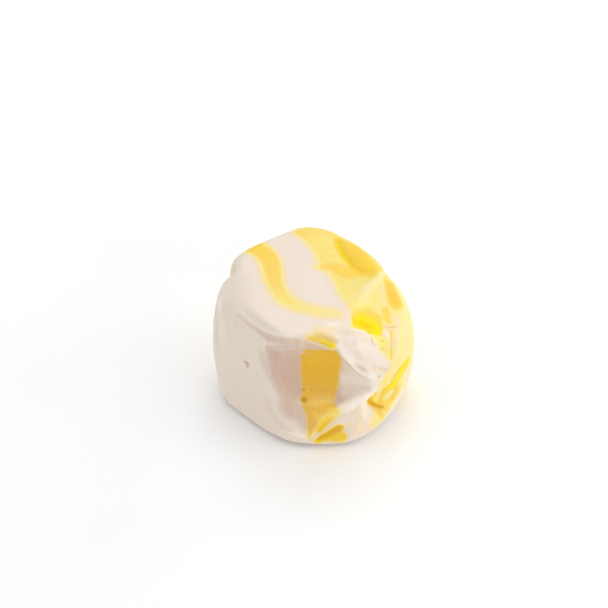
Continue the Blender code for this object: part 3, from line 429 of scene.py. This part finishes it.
BUBBLES = {
    "front bubble": Bubble((-1.0, -9.6, 7.0), 0.4, 0.25),
    "front speck": Bubble((-1.0, -8.8, 7.9), 0.2, 0.15),
    "speck a": Bubble((1.5, -8.8, 7.8), 0.1, 0.08),
    "speck b": Bubble((-0.1, -8.8, 7.8), 0.1, 0.08),
    "speck c": Bubble((-3.3, -8.4, 9.4), 0.11, 0.08),
    "speck d": Bubble((-2.5, -8.6, 8.7), 0.1, 0.08),
    "speck e": Bubble((-5.2, -7.0, 12.5), 0.1, 0.06),
    "speck f": Bubble((-3.6, -8.2, 13.1), 0.1, 0.06),
    "speck g": Bubble((1.2, -8.1, 10.1), 0.1, 0.06),
    "shell dot": Bubble((7.5, -8.5, 9.6), 0.14, 0.1),
    "raised dot": Bubble((4.4, -8.7, 8.8), 0.12, -0.08),
    "flap dot": Bubble((4.6, -10.1, 5.4), 0.14, -0.12),
    "rim dot a": Bubble((7.8, -6.5, 13.2), 0.14, 0.12),
    "rim dot b": Bubble((7.8, -7.3, 12.7), 0.14, 0.12),
    "crack end": Bubble((8.1, -4.0, 13.0), 0.16, 0.15),
    "spike": Bubble((6.3, -5.2, 13.6), 0.18, -0.3),
    "foot spot": Bubble((-0.5, -10.5, 2.0), 0.2, -0.12),
}

# Base colour of the sugar at each share of its deepest yellow, and its tints, painted shade and highlights.
COLOURS = (
    (0.0, (0.875, 0.765, 0.66)),
    (0.2, (0.92, 0.735, 0.49)),
    (0.35, (0.95, 0.78, 0.37)),
    (0.5, (0.97, 0.785, 0.25)),
    (0.63, (1.0, 0.68, 0.15)),
    (0.85, (1.0, 0.68, 0.055)),
    (1.0, (1.0, 0.77, 0.0)),
)
DEEPEST_SHADE = 1.5
# Colour multiplied in for painted shade, which also warms a few tinted streaks.
SHADE_AND_TINT = (0.765, 0.625, 0.56)
# The dishes given painted shade all over, and how far past their edges the painted shade goes.
SHADED_DISHES = ("front", "front corner")
DISH_SHADE_REACH = 0.35
# Colour screened in for painted highlights.
PAINTED_HIGHLIGHT = (0.9, 0.43, 0.29)
# Painted shade in creases and dents, and painted highlights on crests.
CREASE_SHADE = (1.0, 0.87, 0.6)
CREST_HIGHLIGHT = (0.2, 0.16, 0.1)
# The lifts where the painted shade of creases and painted highlight of crests start and are full.
CREASE_SHADE_LIFT = (-0.15, -1.1)
CREST_HIGHLIGHT_LIFT = (0.05, 0.4)
SPECK = (0.82, 0.72, 0.05)
# A bubble's mark fades from full to none between these shares of its radius.
SPECK_EDGE = (0.6, 1.1)
# Height, wavelength and seed of each layer of the skin's unevenness, and of the streaks' uneven edges.
UNEVENNESS = ((0.04, 3.0, 1.7), (0.02, 0.9, 4.1), (0.008, 0.4, 7.9))
WOBBLE = ((0.16, 2.4, 9.3), (0.08, 0.7, 2.6))
# How the fine noise is drawn out: eight times longer up the log, the way the candy was pulled.
PULLED = (1.0, 1.0, 0.12)
EVEN = (1.0, 1.0, 1.0)
# Waves to a millimetre, detail, stretch and size of the noise in the shade and in the painted shading.
MOTTLE = (0.8, 4.0, EVEN, 0.2)
GRAIN = (3.0, 4.0, PULLED, 0.5)
# Waves to a millimetre, detail, stretch, strength and height of the fine bumps: pores, then pull marks.
BUMPS = ((6.0, 3.0, EVEN, 0.35, 0.1), (2.2, 3.0, PULLED, 0.3, 0.15))
SCATTER = 0.35
SCATTER_RADIUS = (0.8, 0.7, 0.5)
SCATTER_SCALE = 0.28
CANDY_ROUGHNESS = 0.5
CANDY_SHINE = 0.2

FLOOR_REACH = 1500.0
FLOOR_COLOUR = (0.99, 0.99, 0.99)
FLOOR_ROUGHNESS = 0.9
CAMERA_LENS = 100.0
CAMERA_ELEVATION = 42.0
CAMERA_DISTANCE = 202.67
CAMERA_TARGET = (-1.13, 6.32, 7.13)
# Azimuth, elevation and power in watts of each soft light.
SOFTBOXES = {
    "overhead": (0, 90, 1.75),
    "right": (0, 18, 2.0),
    "high right": (0, 55, 1.15),
    "right back": (45, 18, 1.7),
    "back": (90, 55, 2.4),
    "back left": (135, 18, 0.7),
    "high left": (180, 55, 1.5),
    "front left": (225, 18, 1.0),
    "front": (270, 18, 1.42),
    "front right": (315, 18, 1.58),
}
SOFTBOX_SIZE = 550.0
SOFTBOX_DISTANCE = 900.0
SOFTBOX_TARGET = (0.0, 0.0, 5.0)
SKY = (0.9, 0.95, 1.0)
SKY_STRENGTH = 0.09


def unit(vector):
    """The vector at a length of 1."""
    return np.asarray(vector, float) / np.linalg.norm(vector)


def smooth_max(a, b, blend):
    """The larger of two distances, rounded over where they differ by less than blend."""
    share = np.clip(0.5 + 0.5 * (a - b) / blend, 0.0, 1.0)
    return b + (a - b) * share + blend * share * (1.0 - share)


def eased(share):
    """A share from 0 to 1, with a soft start and end."""
    return share * share * (3.0 - 2.0 * share)


def spline(before, start, end, after, t):
    """A point on the smooth curve that passes from start to end as t goes from 0 to 1."""
    bend = 2 * before - 5 * start + 4 * end - after + t * (3 * (start - end) + after - before)
    return start + 0.5 * t * (end - before + t * bend)


def around(azimuth, values):
    """A smooth closed curve through values, which stand at equal steps of azimuth from -pi."""
    values = np.asarray(values, float)
    place = (azimuth + np.pi) / (2.0 * np.pi) * len(values)
    index = np.floor(place).astype(int)
    return spline(*(values[(index + step) % len(values)] for step in (-1, 0, 1, 2)), place - index)


def log_field(points):
    """Negative inside the barrel-shaped log, positive outside, about a distance near its surface."""
    x, y, z = points.T
    azimuth = np.arctan2(y, x)
    level = np.clip(z / HEIGHT, -0.2, 1.2)
    base, belly, top = (around(azimuth, r) for r in (BASE_RADIUS, BELLY_RADIUS, TOP_RADIUS))
    bulge = 2.0 * belly - 0.5 * (base + top)
    side = np.hypot(x, y) - (1 - level) ** 2 * base - 2 * level * (1 - level) * bulge - level**2 * top
    for flat in FLATS:
        turn, lean = np.radians(flat.azimuth), np.radians(flat.lean)
        normal = np.array([np.cos(turn) * np.cos(lean), np.sin(turn) * np.cos(lean), np.sin(lean)])
        side = smooth_max(side, points @ normal - flat.distance, flat.blend)
    lid = z - HEIGHT + 0.2 * (x * x + y * y) / 100.0
    return smooth_max(smooth_max(side, lid, around(azimuth, RIM_ROUND)), -z, BASE_ROUND)


def dish_field(points, dish):
    """Negative inside a dish's ellipsoid, positive outside, about a distance near its surface."""
    out = unit(dish.out)
    across = unit(np.cross(out, dish.long))
    local = (points - dish.middle) @ np.array([np.cross(across, out), across, out]).T / dish.radii
    reach = np.linalg.norm(local, axis=1)
    slope = np.linalg.norm(local / dish.radii, axis=1)
    return reach * (reach - 1.0) / np.maximum(slope, 1e-6)


def field(points):
    """Negative inside the log with its dishes pressed in, and positive outside."""
    value = log_field(points)
    for dish in DISHES.values():
        value = smooth_max(value, -dish_field(points, dish), dish.blend)
    return value


def unit_directions(cells):
    """Directions from the log's centre, and the quads between them: a cube's grid, wrapped round a drum.

    The cube's upper and lower faces go to the drum's ends, so the mesh follows the log's rims.
    """
    grid = bmesh.new()
    bmesh.ops.create_cube(grid, size=2.0)
    bmesh.ops.subdivide_edges(grid, edges=grid.edges[:], cuts=cells - 1, use_grid_fill=True)
    x, y, z = np.array([v.co for v in grid.verts]).T
    quads = [[v.index for v in face.verts] for face in grid.faces]
    grid.free()
    ring = np.maximum(np.abs(x), np.abs(y))
    eighth = np.minimum(np.abs(x), np.abs(y)) / np.maximum(ring, 1e-9) * np.pi / 4.0
    azimuth = np.where(np.abs(x) > np.abs(y), eighth, np.pi / 2.0 - eighth)
    azimuth = np.where(x < 0.0, np.pi - azimuth, azimuth) * np.where(y < 0.0, -1.0, 1.0)
    azimuth = azimuth - FINER * np.sin(azimuth - np.radians(FINE_SIDE))
    level = 0.5 * (z + 1.0)
    radius = ring * ((1.0 - level) * around(azimuth, BASE_RADIUS) + level * around(azimuth, TOP_RADIUS))
    drum = np.stack([radius * np.cos(azimuth), radius * np.sin(azimuth), level * HEIGHT], axis=1) - CENTRE
    return drum / np.linalg.norm(drum, axis=1)[:, None], quads


def surface(directions):
    """The point where each ray from the log's centre leaves the field."""
    low = np.full(len(directions), 2.0)
    high = np.full(len(directions), 20.0)
    for _ in range(26):
        middle = 0.5 * (low + high)
        outside = field(CENTRE + middle[:, None] * directions) > 0.0
        high = np.where(outside, middle, high)
        low = np.where(outside, low, middle)
    return CENTRE + (0.5 * (low + high))[:, None] * directions


def field_normals(points):
    """The direction straight out of the field's surface at each point."""
    step = 0.02
    slopes = [field(points + step * axis) - field(points - step * axis) for axis in np.eye(3)]
    normals = np.array(slopes).T
    return normals / np.linalg.norm(normals, axis=1)[:, None]


def on_surface(points):
    """The points moved to the surface, each along the ray from the log's centre."""
    rays = np.asarray(points) - CENTRE
    return surface(rays / np.linalg.norm(rays, axis=1)[:, None])


def laid_path(path, pieces=6):
    """A smooth curve through the path's points, laid on the surface."""
    marks = np.array(path)
    marks = np.vstack([2 * marks[0] - marks[1], marks, 2 * marks[-1] - marks[-2]])
    steps = np.arange(pieces) / pieces
    curve = [spline(*marks[i:i + 4], t) for i in range(len(marks) - 3) for t in steps]
    return on_surface(np.vstack([curve, marks[-2]]))


def nearest_on(path, points):
    """Each point's distance from the path, its place along it from 0 to 1, and if it is left of the path."""
    nearest = np.full(len(points), np.inf)
    place = np.zeros(len(points))
    left = np.zeros(len(points), bool)
    for index, (start, end) in enumerate(zip(path[:-1], path[1:])):
        run = end - start
        t = np.clip((points - start) @ run / (run @ run), 0.0, 1.0)
        away = points - start - t[:, None] * run
        distance = np.linalg.norm(away, axis=1)
        closer = distance < nearest
        nearest = np.where(closer, distance, nearest)
        place = np.where(closer, (index + t) / (len(path) - 1), place)
        left = np.where(closer, away @ np.cross(start - CENTRE, run) > 0.0, left)
    return nearest, place, left


def fold_height(points, fold):
    """How far the fold lifts each point."""
    distance, place, left = nearest_on(laid_path(fold.path), points)
    width = np.where(left, fold.left, fold.right)
    strength = np.clip(place / fold.fade[0], 0.0, 1.0) * np.clip((1.0 - place) / fold.fade[1], 0.0, 1.0)
    return fold.height * eased(strength) * np.exp(-((distance / width) ** fold.sharpness))


def ripple(points, length, seed):
    """Smooth noise between about -1 and 1, in waves of that many millimetres."""
    shift = Vector((seed, -seed, 2.0 * seed))
    return np.array([noise.noise(Vector(p) / length + shift) for p in points])


def layered(points, layers):
    """The sum of ripples whose heights, wavelengths and seeds are given."""
    return sum(height * ripple(points, length, seed) for height, length, seed in layers)


def taffy_points(cells):
    """The skin's points, its quads, the points before the folds, and each one's lift from the folds."""
    directions, quads = unit_directions(cells)
    points = surface(directions)
    lift = sum(fold_height(points, fold) for fold in FOLDS.values())
    for bubble in BUBBLES.values():
        distance = np.linalg.norm(points - on_surface([bubble.place]), axis=1)
        lift = lift - bubble.depth * np.exp(-((distance / bubble.radius) ** 4))
    lifted = points + (lift + layered(points, UNEVENNESS))[:, None] * field_normals(points)
    lifted[:, 2] = np.maximum(lifted[:, 2], 0.0)
    return lifted, quads, points, lift


def along(values, place):
    """The value at a place from 0 to 1 between two values."""
    return values[0] + (values[1] - values[0]) * place


def painted(points, streaks, ground):
    """The shade at each point, with each streak laid over the ground and the ones before it."""
    wobble = layered(points, WOBBLE)
    shade = ground + np.zeros(len(points))
    for streak in streaks.values():
        distance, place, _ = nearest_on(laid_path(streak.path), points)
        width = along(streak.widths, place)
        inside = width + 0.5 * streak.edge - distance - wobble * np.minimum(width, 1.0)
        share = np.clip(inside / streak.edge, 0.0, 1.0)
        shade += (along(streak.shades, place) - shade) * eased(share)
    return shade


def painted_shading_at(points):
    """Painted shade in the front dishes and along streaks, a few tints, and painted highlights below 0."""
    depth = np.max([-dish_field(points, DISHES[name]) for name in SHADED_DISHES], axis=0)
    return painted(points, SHADING_AND_TINTS, eased(np.clip(1.0 + depth / DISH_SHADE_REACH, 0.0, 1.0)))


def add(tree, kind, **values):
    """A node of that kind, with its inputs set by name."""
    node = tree.nodes.new(kind)
    for name, value in values.items():
        node.inputs[name.replace("_", " ")].default_value = value
    return node


def scaled_noise(tree, scale, detail, stretch):
    """Noise over the object's own coordinates, with that many waves to a millimetre."""
    place = tree.nodes.new("ShaderNodeTexCoord")
    mapping = add(tree, "ShaderNodeMapping", Scale=tuple(s / MM for s in stretch))
    waves = add(tree, "ShaderNodeTexNoise", Scale=scale, Detail=detail, Roughness=0.6)
    tree.links.new(place.outputs["Object"], mapping.inputs["Vector"])
    tree.links.new(mapping.outputs["Vector"], waves.inputs["Vector"])
    return waves.outputs["Fac"]


def math_node(tree, operation, first, second):
    """The result of that operation on two values, each a number or another node's output."""
    node = tree.nodes.new("ShaderNodeMath")
    node.operation = operation
    for socket, value in zip(node.inputs, (first, second)):
        if isinstance(value, float):
            socket.default_value = value
        else:
            tree.links.new(value, socket)
    return node.outputs[0]


def swing(tree, scale, detail, stretch, size):
    """Noise that swings about 0 by that size."""
    waves = scaled_noise(tree, scale, detail, stretch)
    return math_node(tree, "MULTIPLY", math_node(tree, "SUBTRACT", waves, 0.5), size)


def ramp(tree, fac, stops):
    """The colour at fac, between stops that each give a position and a colour."""
    node = tree.nodes.new("ShaderNodeValToRGB")
    elements = node.color_ramp.elements
    while len(elements) < len(stops):
        elements.new(0.5)
    for element, (position, colour) in zip(elements, stops):
        element.position = position
        element.color = (*colour, 1.0)
    tree.links.new(fac, node.inputs[0])
    return node.outputs["Color"]


def attribute(tree, name):
    """The value that the mesh holds under that name at each point."""
    node = tree.nodes.new("ShaderNodeAttribute")
    node.attribute_name = name
    return node.outputs["Fac"]


def spread(tree, value, low, high):
    """The value between low and high, as 0 to 1."""
    node = add(tree, "ShaderNodeMapRange", From_Min=low, From_Max=high)
    tree.links.new(value, node.inputs["Value"])
    return node.outputs["Result"]


def tint(tree, blend, share, below, above):
    """One colour over another, blended in that way and by that share."""
    node = tree.nodes.new("ShaderNodeMix")
    node.data_type = "RGBA"
    node.blend_type = blend
    factor, first, second = (socket for socket in node.inputs if socket.enabled)
    tree.links.new(share, factor)
    tree.links.new(below, first)
    second.default_value = (*above, 1.0)
    return next(socket for socket in node.outputs if socket.enabled)


def speck_cover(tree):
    """1 in the middle of each bubble's mark and 0 outside them."""
    place = tree.nodes.new("ShaderNodeTexCoord").outputs["Object"]
    cover = None
    for bubble in BUBBLES.values():
        if bubble.depth > 0.0:
            away = tree.nodes.new("ShaderNodeVectorMath")
            away.operation = "DISTANCE"
            tree.links.new(place, away.inputs[0])
            away.inputs[1].default_value = (on_surface([bubble.place])[0] - OFFSET) * MM
            full, none = (share * bubble.radius * MM for share in SPECK_EDGE)
            mark = spread(tree, away.outputs["Value"], none, full)
            cover = mark if cover is None else math_node(tree, "MAXIMUM", cover, mark)
    return cover


def candy_colour(tree):
    """Cream to yellow, tints, painted shade in hollows, creases and dents, painted highlights on crests."""
    shade = math_node(tree, "ADD", attribute(tree, "shade"), swing(tree, *MOTTLE))
    colour = ramp(tree, math_node(tree, "DIVIDE", shade, DEEPEST_SHADE), COLOURS)
    lift = attribute(tree, "lift")
    shading_and_tint = math_node(tree, "ADD", attribute(tree, "shading_and_tint"), swing(tree, *GRAIN))
    # Painted shade and a few warm tints above 0, painted highlights below 0.
    colour = tint(tree, "MULTIPLY", spread(tree, shading_and_tint, 0.0, 1.0), colour, SHADE_AND_TINT)
    colour = tint(tree, "SCREEN", spread(tree, shading_and_tint, 0.0, -1.0), colour, PAINTED_HIGHLIGHT)
    # Painted shade in creases and dents, painted highlights on crests, by the fold lift.
    colour = tint(tree, "MULTIPLY", spread(tree, lift, *CREASE_SHADE_LIFT), colour, CREASE_SHADE)
    colour = tint(tree, "SCREEN", spread(tree, lift, *CREST_HIGHLIGHT_LIFT), colour, CREST_HIGHLIGHT)
    return tint(tree, "MULTIPLY", speck_cover(tree), colour, SPECK)


def bumps(tree):
    """The normal under the layers of fine bumps."""
    normal = None
    for scale, detail, stretch, strength, height in BUMPS:
        layer = add(tree, "ShaderNodeBump", Strength=strength, Distance=height * MM)
        tree.links.new(scaled_noise(tree, scale, detail, stretch), layer.inputs["Height"])
        if normal:
            tree.links.new(normal, layer.inputs["Normal"])
        normal = layer.outputs["Normal"]
    return normal


def candy_material():
    """Soft pulled sugar, faintly mottled and pored."""
    sugar = bpy.data.materials.new("taffy")
    sugar.use_nodes = True
    tree = sugar.node_tree
    shader = tree.nodes["Principled BSDF"]
    tree.links.new(candy_colour(tree), shader.inputs["Base Color"])
    shader.inputs["Subsurface Weight"].default_value = SCATTER
    shader.inputs["Subsurface Radius"].default_value = SCATTER_RADIUS
    shader.inputs["Subsurface Scale"].default_value = SCATTER_SCALE * MM
    shader.inputs["Roughness"].default_value = CANDY_ROUGHNESS
    shader.inputs["Specular IOR Level"].default_value = CANDY_SHINE
    tree.links.new(bumps(tree), shader.inputs["Normal"])
    return sugar


def candy():
    """The sweet itself, which stands for the solid."""
    points, quads, smooth, lift = taffy_points(CELLS)
    mesh = bpy.data.meshes.new("candy")
    mesh.from_pydata(((points - OFFSET) * MM).tolist(), [], quads)
    mesh.shade_smooth()
    # Yellow shade, painted shade and highlights with a few tints, and fold lift for crease and crest
    # shading.
    for name, values in (("shade", painted(smooth, STREAKS, 0.0)), ("shading_and_tint", painted_shading_at(smooth)), ("lift", lift)):
        mesh.attributes.new(name, "FLOAT", "POINT").data.foreach_set("value", values)
    mesh.materials.append(candy_material())
    sweet = bpy.data.objects.new("candy", mesh)
    bpy.context.scene.collection.objects.link(sweet)
    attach(sweet, "root")
    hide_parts("taffy")


def floor():
    """A wide sheet of pale paper."""
    reach = FLOOR_REACH * MM
    mesh = bpy.data.meshes.new("floor")
    corners = [(x, y, 0.0) for x, y in ((-reach, -reach), (reach, -reach), (reach, reach), (-reach, reach))]
    mesh.from_pydata(corners, [], [(0, 1, 2, 3)])
    paper = bpy.data.materials.new("paper")
    paper.use_nodes = True
    shader = paper.node_tree.nodes["Principled BSDF"]
    shader.inputs["Base Color"].default_value = (*FLOOR_COLOUR, 1.0)
    shader.inputs["Roughness"].default_value = FLOOR_ROUGHNESS
    mesh.materials.append(paper)
    sheet = bpy.data.objects.new("floor", mesh)
    bpy.context.scene.collection.objects.link(sheet)


def aim(thing, place, target):
    """Puts an object in place with its -Z axis at the target."""
    thing.location = place
    thing.rotation_euler = (Vector(target) - Vector(place)).to_track_quat("-Z", "Y").to_euler()
    bpy.context.scene.collection.objects.link(thing)


def polar(azimuth, elevation, distance):
    """The point at that azimuth, elevation and distance from the origin, in metres."""
    turn, rise = np.radians(azimuth), np.radians(elevation)
    return Vector((np.cos(rise) * np.cos(turn), np.cos(rise) * np.sin(turn), np.sin(rise))) * distance * MM


def lights():
    """A faint sky and a ring of large soft lights."""
    world = bpy.data.worlds.new("studio")
    world.use_nodes = True
    sky = world.node_tree.nodes["Background"]
    sky.inputs["Color"].default_value = (*SKY, 1.0)
    sky.inputs["Strength"].default_value = SKY_STRENGTH
    bpy.context.scene.world = world
    for name, (azimuth, elevation, power) in SOFTBOXES.items():
        lamp = bpy.data.lights.new(name, "AREA")
        lamp.size = SOFTBOX_SIZE * MM
        lamp.energy = power
        place = polar(azimuth, elevation, SOFTBOX_DISTANCE)
        aim(bpy.data.objects.new(name, lamp), place, Vector(SOFTBOX_TARGET) * MM)


def camera():
    """A long lens that looks down at the front of the sweet."""
    lens = bpy.data.cameras.new("camera")
    lens.lens = CAMERA_LENS
    lens.clip_start = 5.0 * MM
    eye = bpy.data.objects.new("camera", lens)
    target = Vector(CAMERA_TARGET) * MM
    aim(eye, target + polar(-90.0, CAMERA_ELEVATION, CAMERA_DISTANCE), target)
    bpy.context.scene.camera = eye
    bpy.context.scene.view_settings.view_transform = "Standard"


def main():
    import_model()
    candy()
    floor()
    lights()
    camera()


main()
